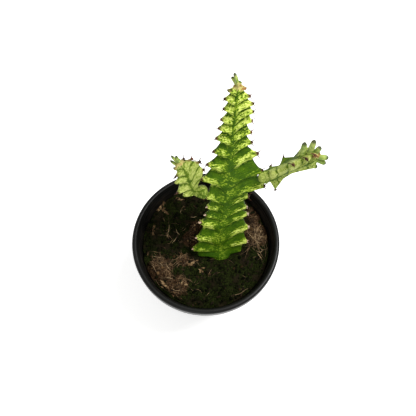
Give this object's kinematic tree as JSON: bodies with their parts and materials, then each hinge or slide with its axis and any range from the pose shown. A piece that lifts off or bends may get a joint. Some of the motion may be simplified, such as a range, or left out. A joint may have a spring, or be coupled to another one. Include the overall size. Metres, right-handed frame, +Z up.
{
  "type": "potted variegated african milk tree",
  "caption": "Young variegated African milk tree with a leaning ribbed stem and short leafy side branches in a round black nursery pot.",
  "frame": {"origin": "centre of the pot's underside, where it stands", "axes": "+Z up out of the pot; -Y is the front that the picture looks at, and the stem leans back towards +Y; +X is the side of the longer branch"},
  "size_m": [0.1249, 0.11, 0.224],
  "materials": {
    "pot_plastic": "black injection-moulded plastic, satin",
    "soil": "damp peat with coir fibre, moss and bark chips",
    "stem": "fleshy green skin marbled with yellow-green, waxy satin",
    "young_stem": "young fleshy skin, pale yellow-green, waxy satin"
  },
  "bodies": {
    "root": {"pot": "pot_plastic", "soil": "soil", "trunk": "stem", "branch_left": "young_stem", "branch_right": "young_stem"}
  },
  "joints": []
}
